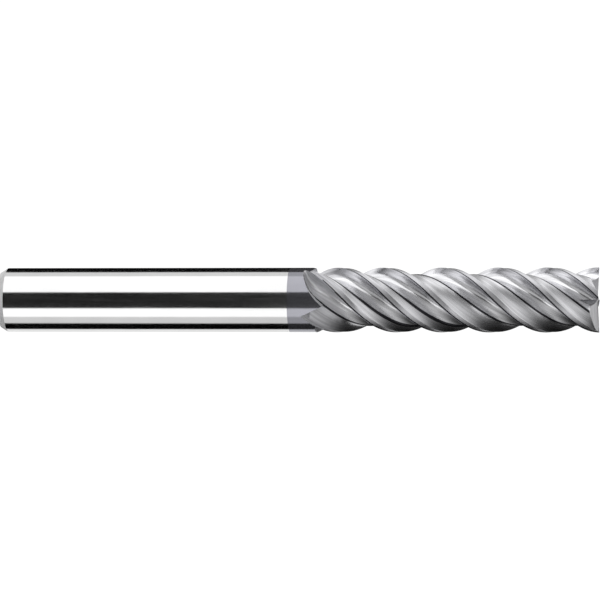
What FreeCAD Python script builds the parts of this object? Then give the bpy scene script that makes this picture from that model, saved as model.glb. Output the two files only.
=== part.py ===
"""Solid carbide end mill: four flutes, square end, right-hand helix and right-hand cut.

The tool is one ground blank.  It is split into regions that meet face to face: the bare shank,
the coated neck with the flute run-outs, the core of the fluted length, and its four teeth.

Frame, in millimetres: the tool's axis is +X, from the centre of the shank's back face (the
origin) to the tip.  Angles run about +X, from +Y towards +Z, which is also the way the tool
turns when it cuts.
"""
import FreeCAD
import Part
import os
from math import atan2, cos, degrees, hypot, pi, radians, sin, sqrt, tan

Vector = FreeCAD.Vector

# ---- driving dimensions: a 3/8 inch tool, 3 1/2 inches long
INCH = 25.4
DIAMETER = 3 / 8 * INCH
LENGTH = 3.5 * INCH
BACK_CHAMFER = 0.65           # how far the chamfer cuts into the radius
BACK_CHAMFER_LENGTH = 1.05    # and along the axis
COATED_LENGTH = 45.5          # tip to the line where the coating begins
FLUTE_LENGTH = 40.3           # tip to where the wheel starts to lift out of the flutes
RUN_OUT = [2.6, 3.1, 1.4, 2.6]          # per tooth: length over which the flute wheel backs out
RUN_OUT_LIFT = 2.3            # how far it has backed out by then, along the rake face
RELIEF_RUN_OUT = [2.6, 2.0, 3.2, 2.6]   # per tooth: length over which the relief narrows to nothing
RELIEF_WIDTH = 58.0           # degrees behind the edge that the relief wheel reaches

# ---- the teeth, counted the way the tool turns: angle of the cutting edge at the tip, helix angle
TEETH = [(180.0, 44.2), (269.0, 45.0), (1.0, 44.2), (94.0, 43.5)]

# ---- cross-section of one tooth and the flute ahead of it
MARGIN = 1.0                  # degrees of full-diameter margin behind the cutting edge
PRIMARY_END = 14.0            # degrees behind the edge where the primary relief ends
PRIMARY_DROP = 0.07           # fall of the surface there
SECONDARY_END = 44.0          # degrees behind the edge where the heel nominally is
SECONDARY_DROP = 0.95
RAKE = 8.0                    # radial rake angle, degrees
RAKE_DEPTH = 0.7              # straight part of the rake face
ROOT_RADIUS = 1.2             # hook between the rake face and the flute's floor
ROOT_TURN = 100.0             # direction, in degrees from the edge's radius, where the hook ends
FLOOR_RADIUS = 4.3            # long hollow from the hook to the heel
FLOOR_TURN = 30.0             # direction where that hollow ends, outside the tool
CORE_RADIUS = 2.6             # just inside the flutes' deepest point

# ---- the end teeth
DISH = 2.5                    # degrees that the end edges fall towards the centre
END_RELIEF = 9.0
END_PRIMARY = 0.9             # width of the primary end relief
END_CLEARANCE = 24.0          # secondary end relief
GASH_OFFSET = 0.12            # the gash's straight wall, from the corner, passes this far behind centre
GASH_DEPTH = 0.25             # depth of the gash at the centre
GASH_SLOPE = 40.0             # fall of the gash's bottom line from the centre outwards
GASH_OPENING = 32.0           # angle between the gash's two walls
GASH_PAST_CENTRE = 0.4

TOOTH_STEP = 1.15             # spacing of the lofted sections along the teeth
RUN_OUT_STEP = 0.4            # and over the run-outs
RADIUS = DIAMETER / 2
FLUTE_START = LENGTH - FLUTE_LENGTH
NECK_START = LENGTH - COATED_LENGTH
CLEAR = 1.0                   # how far the cutting tools stand proud of the blank


def polar(radius, angle):
    """(y, z) of a point given by its radius and its angle in degrees."""
    return (radius * cos(radians(angle)), radius * sin(radians(angle)))


def edge_angle(tooth, x):
    """Angle of a tooth's cutting edge at x, which grows towards the tip: a right-hand helix."""
    tip_angle, helix = TEETH[tooth % len(TEETH)]
    lead = pi * DIAMETER / tan(radians(helix))
    return tip_angle - 360 * (LENGTH - x) / lead


def turned(point, angle):
    """A local point, whose first axis is the edge's radius, turned to the edge's real angle."""
    c, s = cos(radians(angle)), sin(radians(angle))
    return (c * point[0] - s * point[1], s * point[0] + c * point[1])


def arc_point(centre, radius, heading):
    """Point of a clockwise arc where the outline heads that way."""
    h = radians(heading)
    return (centre[0] - radius * sin(h), centre[1] + radius * cos(h))


def arc_centre(point, radius, heading):
    """Centre of a clockwise arc that leaves a point with that heading."""
    h = radians(heading)
    return (point[0] + radius * sin(h), point[1] - radius * cos(h))


# ---- the flute's outline in the frame of its own cutting edge
EDGE = (RADIUS, 0.0)
RAKE_HEADING = 180 + RAKE
RAKE_FOOT = (RADIUS - RAKE_DEPTH * cos(radians(RAKE)), -RAKE_DEPTH * sin(radians(RAKE)))
ROOT_CENTRE = arc_centre(RAKE_FOOT, ROOT_RADIUS, RAKE_HEADING)
ROOT_MIDDLE = arc_point(ROOT_CENTRE, ROOT_RADIUS, (RAKE_HEADING + ROOT_TURN) / 2)
ROOT_END = arc_point(ROOT_CENTRE, ROOT_RADIUS, ROOT_TURN)
FLOOR_CENTRE = arc_centre(ROOT_END, FLOOR_RADIUS, ROOT_TURN)
FLOOR_END = arc_point(FLOOR_CENTRE, FLOOR_RADIUS, FLOOR_TURN)

# ---- the land's outline, also in the frame of its own cutting edge
MARGIN_END = polar(RADIUS, -MARGIN)
PRIMARY_FOOT = polar(RADIUS - PRIMARY_DROP, -PRIMARY_END)
SECONDARY_FOOT = polar(RADIUS - SECONDARY_DROP, -SECONDARY_END)


def heel(tooth, x):
    """Where a tooth's secondary relief meets the floor of the flute behind it."""
    centre = turned(FLOOR_CENTRE, edge_angle(tooth - 1, x))
    start = turned(PRIMARY_FOOT, edge_angle(tooth, x))
    end = turned(SECONDARY_FOOT, edge_angle(tooth, x))
    along = (end[0] - start[0], end[1] - start[1])
    back = (start[0] - centre[0], start[1] - centre[1])
    a = along[0] ** 2 + along[1] ** 2
    b = along[0] * back[0] + along[1] * back[1]
    c = back[0] ** 2 + back[1] ** 2 - FLOOR_RADIUS ** 2
    t = (-b - sqrt(b * b - a * c)) / a
    if t < 0:
        raise ValueError("the relief misses the flute")
    return (start[0] + t * along[0], start[1] + t * along[1])


def bulge(centre, radius, start, end):
    """Middle point of the shorter arc between two points of a circle."""
    mid = ((start[0] + end[0]) / 2 - centre[0], (start[1] + end[1]) / 2 - centre[1])
    scale = radius / hypot(*mid)
    return (centre[0] + mid[0] * scale, centre[1] + mid[1] * scale)


def at(x, point):
    return Vector(x, point[0], point[1])


def line(x, start, end):
    return Part.LineSegment(at(x, start), at(x, end)).toShape()


def arc(x, start, middle, end):
    return Part.Arc(at(x, start), at(x, middle), at(x, end)).toShape()


def tooth_section(tooth, x):
    """Closed outline of one tooth at x, from the middle of its own flute round to the next."""
    own = edge_angle(tooth, x)
    behind = edge_angle(tooth - 1, x)
    root_end = turned(ROOT_END, own)
    rake_foot = turned(RAKE_FOOT, own)
    edge = turned(EDGE, own)
    margin_end = turned(MARGIN_END, own)
    primary_foot = turned(PRIMARY_FOOT, own)
    heel_point = heel(tooth, x)
    floor_start = turned(ROOT_END, behind)
    floor_centre = turned(FLOOR_CENTRE, behind)
    split = degrees(atan2(ROOT_END[1], ROOT_END[0]))
    core_start = polar(CORE_RADIUS, behind + split)
    core_end = polar(CORE_RADIUS, own + split)
    spacing = (own - behind) % 360
    edges = [
        line(x, core_end, root_end),
        arc(x, root_end, turned(ROOT_MIDDLE, own), rake_foot),
        line(x, rake_foot, edge),
        arc(x, edge, polar(RADIUS, own - MARGIN / 2), margin_end),
        line(x, margin_end, primary_foot),
        line(x, primary_foot, heel_point),
        arc(x, heel_point, bulge(floor_centre, FLOOR_RADIUS, heel_point, floor_start), floor_start),
        line(x, floor_start, core_start),
        arc(x, core_start, polar(CORE_RADIUS, behind + split + spacing / 2), core_end),
    ]
    return Part.Wire(edges)


def stations(start, end, step):
    count = round((end - start) / step)
    return [start + (end - start) * i / count for i in range(count + 1)]


def tooth_blank(tooth):
    """A tooth before its end is ground: flat at both ends."""
    wires = [tooth_section(tooth, x) for x in stations(FLUTE_START, LENGTH, TOOTH_STEP)]
    return Part.makeLoft(wires, True, False)


# ---- run-outs
def flute_cutter(tooth):
    """The wheel's path through the neck: the flute's outline, closed outside the tool."""
    away = polar(1.0, RAKE)
    rake_out = (RADIUS + RAKE_DEPTH * cos(radians(RAKE)), RAKE_DEPTH * sin(radians(RAKE)))
    floor_middle = arc_point(FLOOR_CENTRE, FLOOR_RADIUS, (ROOT_TURN + FLOOR_TURN) / 2)
    wires = []
    for x in stations(FLUTE_START - RUN_OUT[tooth], FLUTE_START, RUN_OUT_STEP):
        raised = RUN_OUT_LIFT * ((FLUTE_START - x) / RUN_OUT[tooth]) ** 4

        def place(point):
            return turned((point[0] + raised * away[0], point[1] + raised * away[1]), edge_angle(tooth, x))

        wires.append(Part.Wire([
            line(x, place(rake_out), place(RAKE_FOOT)),
            arc(x, place(RAKE_FOOT), place(ROOT_MIDDLE), place(ROOT_END)),
            arc(x, place(ROOT_END), place(floor_middle), place(FLOOR_END)),
            line(x, place(FLOOR_END), place(rake_out)),
        ]))
    return Part.makeLoft(wires, True, False)


def relief_point(behind):
    """Point of the land's outline, some degrees behind the edge: on the primary or the secondary relief."""
    start, end = (MARGIN_END, PRIMARY_FOOT) if behind < PRIMARY_END else (PRIMARY_FOOT, SECONDARY_FOOT)
    ray = polar(1.0, -behind)
    along = (end[0] - start[0], end[1] - start[1])
    share = (ray[0] * start[1] - ray[1] * start[0]) / (ray[1] * along[0] - ray[0] * along[1])
    return (start[0] + share * along[0], start[1] + share * along[1])


def relief_cutter(tooth):
    """What the relief wheel takes off the neck: narrow at first, then the whole land behind one edge."""
    wires = []
    for x in stations(FLUTE_START - RELIEF_RUN_OUT[tooth], FLUTE_START, RUN_OUT_STEP):
        reach = RELIEF_WIDTH - (RELIEF_WIDTH - 2 * MARGIN) * (FLUTE_START - x) / RELIEF_RUN_OUT[tooth]
        kink = min(PRIMARY_END, (MARGIN + reach) / 2)
        outline = [MARGIN_END, relief_point(kink), relief_point(reach)]
        outline += [polar(RADIUS + CLEAR, -reach), polar(RADIUS + CLEAR, -MARGIN)]
        corners = [turned(point, edge_angle(tooth, x)) for point in outline]
        wires.append(Part.Wire([line(x, corners[i - 1], corners[i]) for i in range(len(corners))]))
    return Part.makeLoft(wires, True, True)


def solid_between(bottom, top):
    """Closed solid between two polygons with matching corners, all of its faces flat."""
    faces = [bottom, top[::-1]]
    for i in range(len(bottom)):
        faces.append([bottom[i - 1], top[i - 1], top[i], bottom[i]])
    shell = Part.Shell([Part.Face(Part.makePolygon(face + face[:1])) for face in faces])
    return Part.Solid(shell)


# ---- the end teeth, in the frame of one end edge: out along its radius, behind it, and along the axis
def end_point(tooth, out, behind, height):
    y, z = turned((out, -behind), edge_angle(tooth, LENGTH))
    return Vector(LENGTH + height, y, z)


def end_relief(tooth, start, slope, drop):
    """A block that stands on one relief plane, from an end edge back to the edge behind it.

    The plane falls from `start` behind the edge with `slope`, and is `drop` lower there.
    """
    gap = (edge_angle(tooth, LENGTH) - edge_angle(tooth - 1, LENGTH)) % 360
    far = 2 * RADIUS
    corners = [(0, 0), (far, 0), (far * cos(radians(gap)), far * sin(radians(gap)))]
    bottom = []
    for out, behind in corners:
        dished = (RADIUS - out) * tan(radians(DISH))
        height = -dished - drop - (behind - start) * tan(radians(slope))
        bottom.append(end_point(tooth, out, behind, height))
    top = [end_point(tooth, out, behind, CLEAR) for out, behind in corners]
    return solid_between(bottom, top)


def gash(tooth):
    """The V that is ground ahead of an end edge, from just past the centre out into the flute."""
    ends = []
    for out in (-GASH_PAST_CENTRE, RADIUS + CLEAR):
        depth = GASH_DEPTH + out * tan(radians(GASH_SLOPE))
        wall = GASH_OFFSET * (1 - out / RADIUS)
        width = (CLEAR + depth) * tan(radians(GASH_OPENING))
        ends.append([
            end_point(tooth, out, wall, -depth),
            end_point(tooth, out, wall, CLEAR),
            end_point(tooth, out, wall - width, CLEAR),
        ])
    return solid_between(ends[0], ends[1])


def end_cutters():
    cutters = []
    for tooth in range(len(TEETH)):
        primary_fall = END_PRIMARY * tan(radians(END_RELIEF))
        cutters.append(end_relief(tooth, 0.0, END_RELIEF, 0.0))
        cutters.append(end_relief(tooth, END_PRIMARY, END_CLEARANCE, primary_fall))
        cutters.append(gash(tooth))
    return cutters


# ---- the pieces
def shank():
    blank = Part.makeCylinder(RADIUS, NECK_START, Vector(0, 0, 0), Vector(1, 0, 0))
    back_rim = [edge for edge in blank.Edges if edge.BoundBox.XMax < BACK_CHAMFER_LENGTH]
    return blank.makeChamfer(BACK_CHAMFER_LENGTH, BACK_CHAMFER, back_rim)


def neck():
    """Coated cylinder from the coating line to the full flutes, with the run-outs cut in."""
    blank = Part.makeCylinder(RADIUS, FLUTE_START - NECK_START, Vector(NECK_START, 0, 0), Vector(1, 0, 0))
    cutters = [flute_cutter(tooth) for tooth in range(len(TEETH))]
    cutters += [relief_cutter(tooth) for tooth in range(len(TEETH))]
    return blank.cut(cutters).toNurbs()


def core():
    blank = Part.makeCylinder(CORE_RADIUS, FLUTE_LENGTH, Vector(FLUTE_START, 0, 0), Vector(1, 0, 0))
    return blank.cut(end_cutters())


def tooth(number):
    return tooth_blank(number).cut(end_cutters())


def export(name, shape):
    """Write one node: a single closed solid."""
    solids = shape.Solids
    if len(solids) != 1 or not solids[0].isValid():
        raise ValueError(f"{name} has {len(solids)} solids, valid: {shape.isValid()}")
    print(f"{name:10s} {solids[0].Volume:9.3f} mm3")
    solids[0].exportStep(f"parts/{name}.step")


os.makedirs("parts", exist_ok=True)
export("shank", shank())
export("neck", neck())
export("core", core())
for number in range(len(TEETH)):
    export(f"tooth_{number + 1}", tooth(number))
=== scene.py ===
"""Looks of the end mill: bare polished shank, coated neck and four ground, coated helical teeth.

Lengths are in millimetres until a mesh is made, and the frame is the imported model's: the axis is
+X from the shank's back face to the tip, +Z is up, and angles run about +X from +Y towards +Z.
"""
import bpy
import bmesh
import math
import numpy as np
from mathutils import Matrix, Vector

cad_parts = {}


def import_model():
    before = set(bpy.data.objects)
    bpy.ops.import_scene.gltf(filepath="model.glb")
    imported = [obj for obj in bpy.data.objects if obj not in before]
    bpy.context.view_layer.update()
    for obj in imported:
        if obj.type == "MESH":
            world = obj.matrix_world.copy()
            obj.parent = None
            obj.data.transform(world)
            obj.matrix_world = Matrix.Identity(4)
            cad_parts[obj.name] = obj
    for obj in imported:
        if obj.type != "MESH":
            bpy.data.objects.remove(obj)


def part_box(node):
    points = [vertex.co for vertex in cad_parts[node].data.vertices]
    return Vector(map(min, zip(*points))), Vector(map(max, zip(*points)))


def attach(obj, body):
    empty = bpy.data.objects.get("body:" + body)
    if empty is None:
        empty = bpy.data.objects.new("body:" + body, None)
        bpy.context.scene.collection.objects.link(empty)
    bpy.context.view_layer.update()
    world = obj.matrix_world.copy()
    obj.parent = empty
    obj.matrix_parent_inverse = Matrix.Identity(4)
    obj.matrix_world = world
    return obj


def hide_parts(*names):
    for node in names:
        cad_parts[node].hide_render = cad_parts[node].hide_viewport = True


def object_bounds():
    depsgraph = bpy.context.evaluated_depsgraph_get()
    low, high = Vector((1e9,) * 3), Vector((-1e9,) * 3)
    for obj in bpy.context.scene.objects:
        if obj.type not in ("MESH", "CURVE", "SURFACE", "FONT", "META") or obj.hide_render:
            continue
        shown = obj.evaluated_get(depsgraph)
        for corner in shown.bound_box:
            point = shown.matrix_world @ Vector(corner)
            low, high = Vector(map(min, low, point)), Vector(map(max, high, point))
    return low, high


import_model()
CAD_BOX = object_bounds()
MM = 0.001


def box_mm(node):
    low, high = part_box(node)
    return np.array(low) / MM, np.array(high) / MM


# ---- driving sizes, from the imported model
LENGTH = CAD_BOX[1].x / MM
RADIUS = box_mm("shank")[1][2]
NECK_START = box_mm("neck")[0][0]
FLUTE_START = box_mm("tooth_1")[0][0]
CORE_RADIUS = box_mm("core")[1][2]

# ---- the teeth, counted the way the tool turns: angle of the cutting edge at the tip, helix angle
TEETH = [(180.0, 44.2), (269.0, 45.0), (1.0, 44.2), (94.0, 43.5)]
COUNT = len(TEETH)

# ---- cross-section of one tooth and the flute ahead of it; angles are in degrees
MARGIN = 1.0                  # angle of full-diameter margin behind the cutting edge
PRIMARY_END = 14.0            # angle behind the edge where the primary relief ends
PRIMARY_DROP = 0.07           # fall of the surface there
SECONDARY_END = 44.0          # angle behind the edge where the heel nominally is
SECONDARY_DROP = 0.95
RAKE = 8.0                    # radial rake angle
RAKE_DEPTH = 0.7              # straight part of the rake face
ROOT_RADIUS = 1.2             # hook between the rake face and the flute's floor
ROOT_TURN = 100.0             # heading, from the edge's radius, where the hook ends
FLOOR_RADIUS = 4.3            # long hollow from the hook to the heel
FLOOR_TURN = 30.0             # heading where that hollow ends, outside the tool

# ---- run-outs: where the flute wheel backs out along the rake face, and the relief narrows to nothing
RUN_OUT = [2.6, 3.1, 1.4, 2.6]          # per tooth: length over which the wheel backs out
RUN_OUT_LIFT = 2.3            # how far it has backed out by then
RELIEF_RUN_OUT = [2.6, 2.0, 3.2, 2.6]   # per tooth: length over which the relief narrows
RELIEF_WIDTH = 58.0           # angle behind the edge that the relief wheel reaches

# ---- the end teeth and the shank's back end
DISH = 2.5                    # angle that the end edges fall towards the centre
END_RELIEF = 9.0              # angle of the primary end relief
END_PRIMARY = 0.9             # and its width
END_CLEARANCE = 24.0          # angle of the end clearance behind it
GASH_OFFSET = 0.12            # the gash's straight wall, from the corner, passes this far behind centre
GASH_DEPTH = 0.25             # depth of the gash at the centre
GASH_SLOPE = 40.0             # fall of the gash's bottom line from the centre outwards
GASH_OPENING = 32.0           # angle between the gash's two walls
GASH_PAST_CENTRE = 0.4        # how far the gash runs on past the centre
BACK_CHAMFER = 0.65           # how far the chamfer cuts into the radius
BACK_CHAMFER_LENGTH = 1.05    # and along the axis
SOFT_EDGE = 0.05              # rounding of the chamfer's two rims
CLEAR = 1.0                   # how far cutters stand proud of the blank

# ---- mesh density: spacing of sections along the axis, and sides of each stretch of an outline
STATION = 0.16                # teeth and run-outs
NECK_STATION = 0.3
SHANK_STATION = 1.0
CORE_STATION = 2.0
ROUND_STEPS = 256             # a plain cylinder
HOOK_STEPS = 26
RAKE_STEPS = 6
PRIMARY_STEPS = 8
SECONDARY_STEPS = 12
FLOOR_STEPS = 20              # the floor from the heel behind down to its own hook
CORE_STEPS = 16
CUTTER_RAKE_STEPS = 8         # the flute wheel's outline reaches outside the tool, so it is longer
CUTTER_FLOOR_STEPS = 36


def polar(radius, angle):
    a = np.radians(angle)
    return np.stack([radius * np.cos(a), radius * np.sin(a)], axis=-1)


def edge_angle(tooth, x):
    """Angle of a cutting edge at x; it grows towards the tip, which makes a right-hand helix."""
    tip_angle, helix = TEETH[tooth % COUNT]
    return tip_angle - np.degrees((LENGTH - x) * math.tan(math.radians(helix)) / RADIUS)


def lift(tooth, x):
    """How far the flute wheel, which starts to back out at FLUTE_START, has moved at x."""
    return RUN_OUT_LIFT * (np.clip(FLUTE_START - x, 0, None) / RUN_OUT[tooth]) ** 4


def turned(points, angle):
    a = np.radians(angle)
    c, s = np.cos(a), np.sin(a)
    y, z = points[..., 0], points[..., 1]
    return np.stack([c * y - s * z, s * y + c * z], axis=-1)


def right_of(heading):
    """Unit vector to the right of a heading."""
    h = math.radians(heading)
    return np.array([math.sin(h), -math.cos(h)])


# ---- outline of the flute and the land in the frame of their own cutting edge
EDGE = polar(RADIUS, 0.0)
RAKE_FOOT = EDGE + polar(RAKE_DEPTH, 180 + RAKE)
RAKE_OUT = EDGE - polar(RAKE_DEPTH, 180 + RAKE)
ROOT_CENTRE = RAKE_FOOT + ROOT_RADIUS * right_of(180 + RAKE)
ROOT_END = ROOT_CENTRE - ROOT_RADIUS * right_of(ROOT_TURN)
FLOOR_CENTRE = ROOT_END + FLOOR_RADIUS * right_of(ROOT_TURN)
FLOOR_END = FLOOR_CENTRE - FLOOR_RADIUS * right_of(FLOOR_TURN)
MARGIN_END = polar(RADIUS, -MARGIN)
PRIMARY_FOOT = polar(RADIUS - PRIMARY_DROP, -PRIMARY_END)
SECONDARY_FOOT = polar(RADIUS - SECONDARY_DROP, -SECONDARY_END)
SPLIT = math.degrees(math.atan2(ROOT_END[1], ROOT_END[0]))
AWAY = polar(1.0, RAKE)


def straight(start, end, count):
    """Points from start to end, without the last one."""
    t = np.linspace(0, 1, count + 1)[:-1, None]
    return start + (end - start) * t


def round_arc(centre, start, end, count):
    """Points along the shorter arc from start to end, without the last one."""
    first = math.atan2(*(start - centre)[::-1])
    last = math.atan2(*(end - centre)[::-1])
    sweep = (last - first + math.pi) % (2 * math.pi) - math.pi
    a = first + sweep * np.linspace(0, 1, count + 1)[:-1]
    radius = np.hypot(*(start - centre))
    return centre + radius * np.stack([np.cos(a), np.sin(a)], axis=-1)


def heel(tooth, x):
    """Where a tooth's secondary relief meets the floor of the flute behind it."""
    centre = turned(FLOOR_CENTRE, edge_angle(tooth - 1, x))
    start = turned(PRIMARY_FOOT, edge_angle(tooth, x))
    along = turned(SECONDARY_FOOT, edge_angle(tooth, x)) - start
    back = start - centre
    a, b, c = along @ along, along @ back, back @ back - FLOOR_RADIUS ** 2
    return start + along * (-b - math.sqrt(b * b - a * c)) / a


def tooth_section(tooth, x):
    """Closed outline of one tooth: from the middle of its own flute round to the flute behind."""
    own, behind = edge_angle(tooth, x), edge_angle(tooth - 1, x)
    root_end, rake_foot = turned(ROOT_END, own), turned(RAKE_FOOT, own)
    edge, margin_end = turned(EDGE, own), turned(MARGIN_END, own)
    primary_foot, heel_point = turned(PRIMARY_FOOT, own), heel(tooth, x)
    floor_start = turned(ROOT_END, behind)
    core_start, core_end = polar(CORE_RADIUS, behind + SPLIT), polar(CORE_RADIUS, own + SPLIT)
    return np.concatenate([
        straight(core_end, root_end, 1),
        round_arc(turned(ROOT_CENTRE, own), root_end, rake_foot, HOOK_STEPS),
        straight(rake_foot, edge, RAKE_STEPS),
        round_arc(np.zeros(2), edge, margin_end, 1),
        straight(margin_end, primary_foot, PRIMARY_STEPS),
        straight(primary_foot, heel_point, SECONDARY_STEPS),
        round_arc(turned(FLOOR_CENTRE, behind), heel_point, floor_start, FLOOR_STEPS),
        straight(floor_start, core_start, 1),
        round_arc(np.zeros(2), core_start, core_end, CORE_STEPS),
    ])


def flute_section(tooth, x):
    """Outline of the flute wheel's cut, closed outside the tool."""
    outline = np.concatenate([
        straight(RAKE_OUT, RAKE_FOOT, CUTTER_RAKE_STEPS),
        round_arc(ROOT_CENTRE, RAKE_FOOT, ROOT_END, HOOK_STEPS),
        round_arc(FLOOR_CENTRE, ROOT_END, FLOOR_END, CUTTER_FLOOR_STEPS),
        straight(FLOOR_END, RAKE_OUT, 1),
    ])
    return turned(outline + lift(tooth, x) * AWAY, edge_angle(tooth, x))


def relief_point(behind):
    """Point of the land's outline, some degrees behind the edge: on the primary or the secondary relief."""
    start, end = (MARGIN_END, PRIMARY_FOOT) if behind < PRIMARY_END else (PRIMARY_FOOT, SECONDARY_FOOT)
    ray, along = polar(1.0, -behind), end - start
    share = (ray[0] * start[1] - ray[1] * start[0]) / (ray[1] * along[0] - ray[0] * along[1])
    return start + share * along


def relief_section(tooth, x):
    """Outline of the relief wheel's cut behind one cutting edge, closed outside the tool."""
    reach = RELIEF_WIDTH - (RELIEF_WIDTH - 2 * MARGIN) * max(FLUTE_START - x, 0) / RELIEF_RUN_OUT[tooth]
    kink = min(PRIMARY_END, (MARGIN + reach) / 2)
    return turned(np.array([
        MARGIN_END, relief_point(kink), relief_point(reach),
        polar(RADIUS + CLEAR, -reach), polar(RADIUS + CLEAR, -MARGIN),
    ]), edge_angle(tooth, x))


def round_section(radius):
    return polar(radius, np.arange(ROUND_STEPS) * 360 / ROUND_STEPS)


def stations(start, end, step=STATION):
    return np.linspace(start, end, max(2, round((end - start) / step) + 1))


def skin(name, xs, rings):
    """Closed mesh through matching rings of (y, z) points at each x, with flat ends."""
    count = len(rings[0])
    verts = [(x * MM, y * MM, z * MM) for x, ring in zip(xs, rings) for y, z in ring]
    faces = []
    for s in range(len(xs) - 1):
        for i in range(count):
            j = (i + 1) % count
            faces.append((s * count + i, s * count + j, (s + 1) * count + j, (s + 1) * count + i))
    faces.append(tuple(range(count))[::-1])
    faces.append(tuple((len(xs) - 1) * count + i for i in range(count)))
    return mesh_object(name, verts, faces)


def mesh_object(name, verts, faces):
    """New object with its faces turned outwards."""
    mesh = bpy.data.meshes.new(name)
    mesh.from_pydata(verts, [], faces)
    shell = bmesh.new()
    shell.from_mesh(mesh)
    bmesh.ops.recalc_face_normals(shell, faces=shell.faces)
    shell.to_mesh(mesh)
    shell.free()
    obj = bpy.data.objects.new(name, mesh)
    bpy.context.scene.collection.objects.link(obj)
    return obj


# ---- end grinding, in the frame of one end edge: out along its radius, behind it, and along the axis
def end_point(tooth, out, behind, height):
    y, z = turned(np.array([out, -behind]), edge_angle(tooth, LENGTH))
    return ((LENGTH + height) * MM, y * MM, z * MM)


def relief_height(out, behind):
    """Height of the ground end behind one edge: the primary relief plane, then the steeper clearance."""
    primary = min(behind, END_PRIMARY) * math.tan(math.radians(END_RELIEF))
    clearance = max(behind - END_PRIMARY, 0) * math.tan(math.radians(END_CLEARANCE))
    return -(RADIUS - out) * math.tan(math.radians(DISH)) - primary - clearance


def end_stamp():
    """One closed cutter that stands on the end reliefs of all the teeth."""
    far = 2 * RADIUS
    verts, faces = [end_point(0, 0, 0, relief_height(0, 0))], []
    for tooth in range(COUNT):
        gap = math.radians((TEETH[tooth][0] - TEETH[tooth - 1][0]) % 360)
        side = (math.cos(gap), math.sin(gap))
        share = END_PRIMARY / (far * side[1])
        kink_out = far + share * far * (side[0] - 1)
        for out, behind in [
            (far, 0), (kink_out, END_PRIMARY), (far * side[0], far * side[1]),
            (END_PRIMARY * side[0] / side[1], END_PRIMARY),
        ]:
            verts.append(end_point(tooth, out, behind, relief_height(out, behind)))
        verts.append(end_point(tooth, far, 0, CLEAR))
    # the teeth share vertex 0, at the centre, and have five more each
    numbers = np.arange(1, len(verts)).reshape(COUNT, 5).tolist()
    for tooth in range(COUNT):
        edge_far, kink, far_side, middle, top = numbers[tooth]
        last_far, last_top = numbers[tooth - 1][0], numbers[tooth - 1][-1]
        faces.append((0, edge_far, kink, middle))
        faces.append((middle, kink, far_side))
        faces.append((0, last_far, far_side, middle))
        faces.append((edge_far, top, last_top, last_far, far_side, kink))
    faces.append([own[-1] for own in numbers])
    return mesh_object("cutter", verts, faces)


def gash(tooth):
    """The V that is ground ahead of an end edge, from just past the centre out into the flute."""
    verts = []
    for out in (-GASH_PAST_CENTRE, RADIUS + CLEAR):
        depth = GASH_DEPTH + out * math.tan(math.radians(GASH_SLOPE))
        wall = GASH_OFFSET * (1 - out / RADIUS)
        width = (CLEAR + depth) * math.tan(math.radians(GASH_OPENING))
        verts.append(end_point(tooth, out, wall, -depth))
        verts.append(end_point(tooth, out, wall, CLEAR))
        verts.append(end_point(tooth, out, wall - width, CLEAR))
    return mesh_object("cutter", verts, [(0, 1, 2), (3, 4, 5), (0, 1, 4, 3), (1, 2, 5, 4), (2, 0, 3, 5)])


def end_cutters():
    return [end_stamp()] + [gash(tooth) for tooth in range(COUNT)]


def cut(obj, cutters):
    """Takes the cutters away from the piece and deletes them."""
    for cutter in cutters:
        boolean = obj.modifiers.new("cut", "BOOLEAN")
        boolean.operation = "DIFFERENCE"
        boolean.solver = "MANIFOLD"
        boolean.object = cutter
    depsgraph = bpy.context.evaluated_depsgraph_get()
    mesh = bpy.data.meshes.new_from_object(obj.evaluated_get(depsgraph))
    obj.modifiers.clear()
    obj.data = mesh
    for cutter in cutters:
        bpy.data.objects.remove(cutter)
    return obj


# ---- the ground surfaces: distance of points from each, and how far across it they lie
def blank_surface(points):
    return np.hypot(points[:, 1], points[:, 2]) - RADIUS, RADIUS * np.arctan2(points[:, 1], points[:, 2])


def flute_arc(tooth, centre, radius):
    def measure(points):
        x = points[:, 0]
        out = turned(points[:, 1:], -edge_angle(tooth, x)) - lift(tooth, x)[:, None] * AWAY - centre
        return np.hypot(out[:, 0], out[:, 1]) - radius, radius * np.arctan2(-out[:, 1], -out[:, 0])
    return measure


def flat_face(tooth, start, end):
    """Distance of points from the straight line of the section between two corners, and along it."""
    along = (end - start) / np.linalg.norm(end - start)

    def measure(points):
        rel = turned(points[:, 1:], -edge_angle(tooth, points[:, 0])) - start
        return rel[:, 1] * along[0] - rel[:, 0] * along[1], rel @ along
    return measure


# finish of each kind of ground surface: roughness, depth of its grinding lines, and how far its
# colour goes from the coated cylinder's towards a lighter grey, painted light on the same coating, or below
# 0 to the dark lines
FINISH_AND_PAINTED_LIGHT = {
    "blank": (0.12, 0.1, 0.0),
    "floor": (0.26, 0.4, 1.0),
    "hook": (0.2, 0.4, 1.0),
    "rake": (0.19, 0.4, 0.85),
    "primary": (0.32, 0.9, 0.75),
    "secondary": (0.26, 0.7, 0.85),
    "edge": (0.2, 0.5, -1.0),
    "end": (0.4, 0.5, 1.0),
}
NEAR = 0.02                   # a face belongs to a surface that is nearer than this
ALIGNED = 0.97                # and whose normal agrees at least this well, as a cosine
EDGE_LINE = 0.3               # width of the dark line along each cutting edge
HEEL_PAINTED_SHADE = 0.17              # reach of the painted shade line along each heel, as the other face's distance
RUN_OUT_ROUGHER = 2.4         # how much rougher the run-outs, and the shank's back end, are than the flutes
RUN_OUT_DULL = 3.5            # length over which that wears off into the flutes
HOOK_SPAN = ROOT_RADIUS * np.radians([ROOT_TURN - 90, RAKE + 90])
FLOOR_SPAN = FLOOR_RADIUS * np.radians([FLOOR_TURN - 90, ROOT_TURN - 90])


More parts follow.
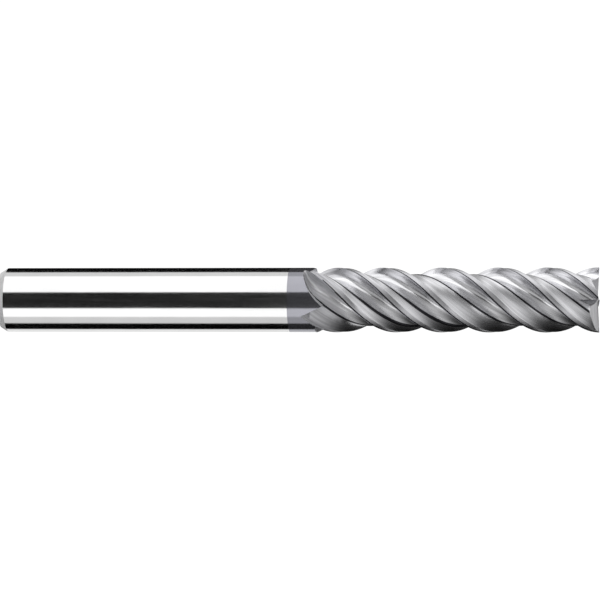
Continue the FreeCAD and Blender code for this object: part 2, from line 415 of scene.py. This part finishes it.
def ground_surfaces(teeth):
    """Each surface with its kind and the x where its run-out starts."""
    found = [("blank", 0.0, blank_surface)]
    for tooth in teeth:
        flute, relief = FLUTE_START - RUN_OUT[tooth], FLUTE_START - RELIEF_RUN_OUT[tooth]
        found.append(("hook", flute, flute_arc(tooth, ROOT_CENTRE, ROOT_RADIUS)))
        found.append(("floor", flute, flute_arc(tooth, FLOOR_CENTRE, FLOOR_RADIUS)))
        found.append(("rake", flute, flat_face(tooth, EDGE, RAKE_FOOT)))
        found.append(("primary", relief, flat_face(tooth, MARGIN_END, PRIMARY_FOOT)))
        found.append(("secondary", relief, flat_face(tooth, PRIMARY_FOOT, SECONDARY_FOOT)))
    return found


def slopes(measure, points):
    """Unit normals of a surface at points near it."""
    step = 1e-4
    rise = []
    for axis in np.eye(3):
        rise.append(measure(points + step * axis)[0] - measure(points - step * axis)[0])
    rise = np.stack(rise, axis=1)
    return rise / np.linalg.norm(rise, axis=1)[:, None]


def vectors(items, name):
    """A property of all the faces or vertices of a mesh, one vector a row."""
    values = np.empty(len(items) * 3)
    items.foreach_get(name, values)
    return values.reshape(-1, 3)


def whole_numbers(items, name):
    values = np.empty(len(items), dtype=int)
    items.foreach_get(name, values)
    return values


def finish(obj, teeth):
    """Finds the ground surface that each face belongs to; it gives the exact normals, UVs and finish, and
    the colour share that paints light and shade.
    """
    mesh = obj.data
    count = len(mesh.polygons)
    centres, facing = vectors(mesh.polygons, "center") / MM, vectors(mesh.polygons, "normal")
    owner = np.repeat(np.arange(count), whole_numbers(mesh.polygons, "loop_total"))
    corners = vectors(mesh.vertices, "co")[whole_numbers(mesh.loops, "vertex_index")] / MM

    normals = facing[owner]
    across = corners[:, 1:].copy()
    looks = np.tile(FINISH_AND_PAINTED_LIGHT["end"], (count, 1))
    best = np.full(count, NEAR)
    chosen_kind = np.full(count, "end", dtype=object)
    land_gap, floor_gap = np.full(count, RADIUS), np.full(count, RADIUS)
    for kind, begins, measure in ground_surfaces(teeth):
        distance, across_faces = measure(centres)
        gap = np.abs(distance)
        agree = np.abs((slopes(measure, centres) * facing).sum(axis=1)) > ALIGNED
        better = (gap < best) & agree & (centres[:, 0] > begins)
        best[better] = gap[better]
        looks[better] = FINISH_AND_PAINTED_LIGHT[kind]
        chosen_kind[better] = kind
        if kind == "primary":
            looks[better & (across_faces < EDGE_LINE) & (centres[:, 0] > FLUTE_START)] = FINISH_AND_PAINTED_LIGHT["edge"]
        elif kind == "secondary":
            land_gap = np.minimum(land_gap, gap)
        elif kind == "floor":
            on_arc = (across_faces > FLOOR_SPAN[0]) & (across_faces < FLOOR_SPAN[1])
            floor_gap = np.where(on_arc, np.minimum(floor_gap, gap), floor_gap)
        elif kind == "hook":
            # painted shade: the hook's colour darkens from its own brightness to the rake's towards the rake
            # face
            fade = np.interp(across_faces, HOOK_SPAN, [FINISH_AND_PAINTED_LIGHT["hook"][2], FINISH_AND_PAINTED_LIGHT["rake"][2]])
            looks[better, 2] = fade[better]
        chosen = better[owner]
        if not chosen.any():
            continue
        exact = slopes(measure, corners[chosen])
        side = np.sign((exact * facing[owner[chosen]]).sum(axis=1))
        normals[chosen] = exact * side[:, None]
        across[chosen] = np.stack([measure(corners[chosen])[1], corners[chosen, 0]], axis=1)

    dulling = np.interp(centres[:, 0], [FLUTE_START, FLUTE_START + RUN_OUT_DULL], [RUN_OUT_ROUGHER, 1.0])
    looks[:, 0] *= np.where(chosen_kind == "blank", 1.0, dulling)
    # painted shade: a dark line on both faces that meet at each heel
    looks[(chosen_kind == "floor") & (land_gap < HEEL_PAINTED_SHADE)] = FINISH_AND_PAINTED_LIGHT["edge"]
    looks[(chosen_kind == "secondary") & (floor_gap < HEEL_PAINTED_SHADE)] = FINISH_AND_PAINTED_LIGHT["edge"]

    mesh.polygons.foreach_set("use_smooth", np.ones(count, dtype=bool))
    layer = mesh.uv_layers.new(name="ground")
    layer.data.foreach_set("uv", across.ravel())
    for column, name in enumerate(["roughness", "lines", "bright"]):
        attribute = mesh.attributes.new(name, "FLOAT", "FACE")
        attribute.data.foreach_set("value", looks[:, column])
    mesh.normals_split_custom_set(normals.tolist())
    return obj


# ---- the pieces
def make_tooth(number):
    xs = stations(FLUTE_START, LENGTH)
    piece = skin(f"ground_tooth_{number + 1}", xs, [tooth_section(number, x) for x in xs])
    return finish(cut(piece, end_cutters()), [number, number - 1])


def make_core():
    xs = stations(FLUTE_START, LENGTH, CORE_STATION)
    piece = skin("ground_core", xs, [round_section(CORE_RADIUS)] * len(xs))
    return finish(cut(piece, end_cutters()), [])


def make_neck():
    xs = stations(NECK_START, FLUTE_START, NECK_STATION)
    piece = skin("ground_neck", xs, [round_section(RADIUS)] * len(xs))
    cutters = []
    for tooth in range(COUNT):
        run = stations(FLUTE_START - RUN_OUT[tooth], FLUTE_START + CLEAR)
        cutters.append(skin("cutter", run, [flute_section(tooth, x) for x in run]))
        land = stations(FLUTE_START - RELIEF_RUN_OUT[tooth], FLUTE_START + CLEAR)
        cutters.append(skin("cutter", land, [relief_section(tooth, x) for x in land]))
    return finish(cut(piece, cutters), range(COUNT))


def make_shank():
    """Plain round shank: the back face, a chamfer with softened rims, and the cylinder."""
    back_radius = RADIUS - BACK_CHAMFER
    soft_fall = SOFT_EDGE * BACK_CHAMFER / BACK_CHAMFER_LENGTH
    xs = [0.0, SOFT_EDGE, BACK_CHAMFER_LENGTH - SOFT_EDGE, BACK_CHAMFER_LENGTH + SOFT_EDGE]
    radii = [back_radius - SOFT_EDGE, back_radius + soft_fall, RADIUS - soft_fall, RADIUS]
    for x in stations(2 * BACK_CHAMFER_LENGTH, NECK_START, SHANK_STATION):
        xs.append(x)
        radii.append(RADIUS)
    return finish(skin("polished_shank", xs, [round_section(radius) for radius in radii]), [])


# ---- node helpers
def add(tree, kind, settings=None, links=None):
    """New node with its socket values and the outputs that feed its sockets."""
    node = tree.nodes.new(kind)
    for socket, value in (settings or {}).items():
        node.inputs[socket].default_value = value
    for socket, output in (links or {}).items():
        tree.links.new(output, node.inputs[socket])
    return node


def feed(tree, sockets, values):
    """Links the values that are outputs of other nodes, and sets the rest."""
    for socket, value in zip(sockets, values):
        if isinstance(value, bpy.types.NodeSocket):
            tree.links.new(value, socket)
        else:
            socket.default_value = value


def maths(tree, operation, *values):
    node = tree.nodes.new("ShaderNodeMath")
    node.operation = operation
    feed(tree, node.inputs, values)
    return node.outputs[0]


def colour_mix(tree, amount, first, second):
    """Mix of two colours; the sockets go by number, because the float sockets have the same names."""
    node = tree.nodes.new("ShaderNodeMix")
    node.data_type = "RGBA"
    feed(tree, [node.inputs[0], node.inputs[6], node.inputs[7]], [amount, first, second])
    return node.outputs[2]


def progress(tree, value, start, end):
    """How far a value has come from start to end, as a number from 0 to 1."""
    return add(tree, "ShaderNodeMapRange", {"From Min": start, "From Max": end}, {"Value": value}).outputs[0]


# ---- materials: the noises, and how much they change the gloss and the colour
ALONG_CUT = 0.03              # scale of the grinding lines along the cut, compared with across it
FINE = {"Scale": 14.0, "Detail": 3.0}
COARSE = {"Scale": 2.5, "Detail": 2.0}
CLOUD = {"Scale": 160.0, "Detail": 4.0}
MIDDLE = (0.35, 0.65)         # the values that most of a noise lies between
CLOUD_SHADE = 0.95            # brightness of the darker patches
LINE_HEIGHT = 0.02            # of the bump, for a metal with a line_depth of 1
# from both sizes of streaks, added up, to a factor on the roughness
GLOSS_SPREAD = {"From Min": 0.7, "From Max": 1.3, "To Min": 0.8, "To Max": 1.2}


def face_value(tree, name):
    node = tree.nodes.new("ShaderNodeAttribute")
    node.attribute_name = name
    return node.outputs["Fac"]


def darker(colour, share):
    return [share * c for c in colour] + [1]


def metal(name, colour, line_depth):
    """Ground metal: fine grinding lines along each cut, uneven gloss and slight changes of colour.

    It also returns the colour and the coarse streaks, for a finish that builds on them.
    """
    material = bpy.data.materials.new(name)
    material.use_nodes = True
    tree = material.node_tree
    shader = tree.nodes["Principled BSDF"]

    uv = add(tree, "ShaderNodeUVMap")
    uv.uv_map = "ground"
    stretch = add(tree, "ShaderNodeMapping", {"Scale": (1, ALONG_CUT, 1)}, {"Vector": uv.outputs[0]})
    fine = add(tree, "ShaderNodeTexNoise", FINE, {"Vector": stretch.outputs[0]}).outputs["Fac"]
    coarse = add(tree, "ShaderNodeTexNoise", COARSE, {"Vector": stretch.outputs[0]}).outputs["Fac"]
    where = add(tree, "ShaderNodeTexCoord")
    cloud = add(tree, "ShaderNodeTexNoise", CLOUD, {"Vector": where.outputs["Object"]}).outputs["Fac"]

    lines = maths(tree, "MULTIPLY", fine, face_value(tree, "lines"))
    bump = add(tree, "ShaderNodeBump", {"Strength": line_depth, "Distance": LINE_HEIGHT * MM},
               {"Height": lines})
    tree.links.new(bump.outputs[0], shader.inputs["Normal"])

    streaks = maths(tree, "ADD", coarse, fine)
    spread = add(tree, "ShaderNodeMapRange", GLOSS_SPREAD, {"Value": streaks})
    rough = maths(tree, "MULTIPLY", spread.outputs[0], face_value(tree, "roughness"))
    tree.links.new(rough, shader.inputs["Roughness"])

    tint = colour_mix(tree, progress(tree, cloud, *MIDDLE), (*colour, 1), darker(colour, CLOUD_SHADE))
    shader.inputs["Metallic"].default_value = 1.0
    tree.links.new(tint, shader.inputs["Base Color"])
    return material, tint, coarse


def coated_metal(name, colour, bright, dark, metallic, line_depth, streak):
    """Metal whose colour and metallic follow the finish of each ground surface, with its painted light and
    shade.
    """
    material, tint, coarse = metal(name, colour, line_depth)
    tree = material.node_tree
    shader = tree.nodes["Principled BSDF"]
    # painted light: the lighter grey that the ground faces are lifted to, with the coarse streaks in it
    ground = colour_mix(tree, progress(tree, coarse, *MIDDLE), (*bright, 1), darker(bright, streak))
    share = face_value(tree, "bright")
    tint = colour_mix(tree, maths(tree, "MAXIMUM", share, 0.0), tint, ground)
    # below 0 the share darkens towards the dark lines, which along the heels are painted shade
    tint = colour_mix(tree, maths(tree, "MULTIPLY", share, -1.0), tint, (*dark, 1))
    tree.links.new(tint, shader.inputs["Base Color"])
    shine = maths(tree, "ADD", maths(tree, "MULTIPLY", share, 1 - metallic), metallic)
    tree.links.new(shine, shader.inputs["Metallic"])
    return material


BARE = metal("bare_carbide", (0.86, 0.86, 0.86), 0.1)[0]
# bright is the painted light of the ground faces; dark is the dark lines' colour, painted shade along the
# heels
COATED = coated_metal(
    "coated_carbide", colour=(0.385, 0.385, 0.425), bright=(0.85, 0.85, 0.87), dark=(0.03, 0.03, 0.035),
    metallic=0.88, line_depth=0.8, streak=0.72,
)


# ---- light, as rings of directions about the tool's axis
# straight across the tool, sharp white and black cards: upper limit of each in degrees, counted
# upwards from the -Y side, and its brightness
CARDS = [(-131, 0.88), (-93, 0.0), (-63, 0.72), (-30, 1.25), (28, 0.01), (95, 1.25), (119, 0.74), (180, 0.0)]
CARD_BLUR = 1.2               # degrees from a card's nominal limit to where its full brightness starts
# softer light elsewhere, as (degrees, brightness): big lamps overhead, a wall of medium grey in
# front, and a dark floor that reaches further up towards the tip
SHANK_SIDE = [(-180, 0.3), (-60, 0.45), (20, 0.6), (32, 0.3), (40, 0.5), (50, 1.5), (95, 1.4), (120, 0.85),
              (150, 0.6), (180, 0.4)]
TIP_0 = [(-180, 0.05), (-100, 0.02), (-72, 0.05), (-58, 0.7), (-30, 0.8), (-15, 0.38), (15, 0.32), (34, 0.4),
         (55, 0.5), (66, 1.25), (125, 1.25), (145, 0.55), (180, 0.3)]
TIP_1 = [(-180, 0.02), (-90, 0.03), (-50, 0.5), (-20, 0.45), (10, 0.28), (40, 0.3), (60, 0.35), (75, 1.2),
         (125, 1.2), (145, 0.55), (180, 0.3)]
TIP_2 = [(-180, 0.0), (-110, 0.0), (-70, 0.04), (-45, 0.28), (-10, 0.65), (40, 0.32), (90, 0.35), (125, 1.3),
         (150, 0.6), (180, 0.2)]
TIP_3 = [(-180, 0.0), (-90, 0.0), (-60, 0.05), (-30, 0.4), (20, 0.9), (70, 0.85), (100, 0.6), (180, 0.4)]
TIP_4 = [(-180, 0.05), (-90, 0.1), (-50, 0.35), (10, 1.0), (180, 1.2)]
# where along the axis each ring takes over from the one before, as the x of unit directions
TAKES_OVER = [(-0.36, -0.27), (-0.09, -0.04), (0.02, 0.07), (0.16, 0.28), (0.36, 0.55), (0.68, 0.88)]


def ramp(tree, factor, stops):
    """Brightness by direction; stops are (degrees, brightness), rising."""
    node = tree.nodes.new("ShaderNodeValToRGB")
    tree.links.new(factor, node.inputs[0])
    elements = node.color_ramp.elements
    elements.remove(elements[1])
    for i, (degree, value) in enumerate(stops):
        position = (degree + 180) / 360
        element = elements[0] if i == 0 else elements.new(position)
        element.position = position
        element.color = (value, value, value, 1)
    return node.outputs["Color"]


def card_stops():
    stops = []
    start = -180
    for end, value in CARDS:
        stops.append((max(start + CARD_BLUR, -180), value))
        stops.append((min(end - CARD_BLUR, 180), value))
        start = end
    return stops


def world():
    scene = bpy.context.scene
    scene.world = bpy.data.worlds.new("studio")
    scene.world.use_nodes = True
    tree = scene.world.node_tree
    tree.nodes.clear()
    where = add(tree, "ShaderNodeTexCoord")
    split = add(tree, "ShaderNodeSeparateXYZ", links={0: where.outputs["Generated"]})
    front = maths(tree, "MULTIPLY", split.outputs["Y"], -1.0)
    angle = maths(tree, "ARCTAN2", split.outputs["Z"], front)
    turn = progress(tree, angle, -math.pi, math.pi)
    stops = [SHANK_SIDE, card_stops(), TIP_0, TIP_1, TIP_2, TIP_3, TIP_4]
    rings = [ramp(tree, turn, ring) for ring in stops]
    light = rings[0]
    for ring, (start, end) in zip(rings[1:], TAKES_OVER):
        light = colour_mix(tree, progress(tree, split.outputs["X"], start, end), light, ring)
    lit = add(tree, "ShaderNodeBackground", links={"Color": light})
    white = add(tree, "ShaderNodeBackground", {"Color": (1, 1, 1, 1), "Strength": 1.05})
    ray = add(tree, "ShaderNodeLightPath")
    pick = add(tree, "ShaderNodeMixShader",
               links={0: ray.outputs["Is Camera Ray"], 1: lit.outputs[0], 2: white.outputs[0]})
    add(tree, "ShaderNodeOutputWorld", links={"Surface": pick.outputs[0]})


FLOOR_SIDE = 3000.0
FLOOR_Z = -60.0


def floor():
    """Plain white table top, well below the tool."""
    s, z = FLOOR_SIDE * MM, FLOOR_Z * MM
    obj = mesh_object("floor", [(-s, -s, z), (s, -s, z), (s, s, z), (-s, s, z)], [(0, 1, 2, 3)])
    material = bpy.data.materials.new("floor")
    material.use_nodes = True
    shader = material.node_tree.nodes["Principled BSDF"]
    shader.inputs["Base Color"].default_value = (0.95, 0.95, 0.95, 1)
    shader.inputs["Roughness"].default_value = 0.9
    shader.inputs["Emission Color"].default_value = (1, 1, 1, 1)
    shader.inputs["Emission Strength"].default_value = 0.7
    obj.data.materials.append(material)
    obj.visible_glossy = False
    obj.visible_diffuse = False
    obj.visible_shadow = False


# ---- camera: level with the tool, a little towards its tip
AZIMUTH = 6.5                 # degrees
DISTANCE = 0.446              # metres
LENS = 181.0
SENSOR = 36.0
FARTHEST = 10.0               # metres
AIM = 0.4                     # how far past the middle of the tool it looks


def camera():
    data = bpy.data.cameras.new("camera")
    data.sensor_width = SENSOR
    data.lens = LENS
    data.clip_end = FARTHEST
    obj = bpy.data.objects.new("camera", data)
    bpy.context.scene.collection.objects.link(obj)
    a = math.radians(AZIMUTH)
    centre = Vector(((LENGTH / 2 + AIM) * MM, 0, 0))
    back = Vector((math.sin(a), -math.cos(a), 0))
    obj.location = centre + back * DISTANCE
    obj.rotation_euler = (-back).to_track_quat("-Z", "Y").to_euler()
    bpy.context.scene.camera = obj


def place(piece, node, material):
    piece.data.materials.clear()
    piece.data.materials.append(material)
    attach(piece, "root")
    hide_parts(node)


place(make_shank(), "shank", BARE)
place(make_neck(), "neck", COATED)
place(make_core(), "core", COATED)
for number in range(COUNT):
    place(make_tooth(number), f"tooth_{number + 1}", COATED)

bpy.context.scene.view_settings.view_transform = "Standard"
world()
floor()
camera()
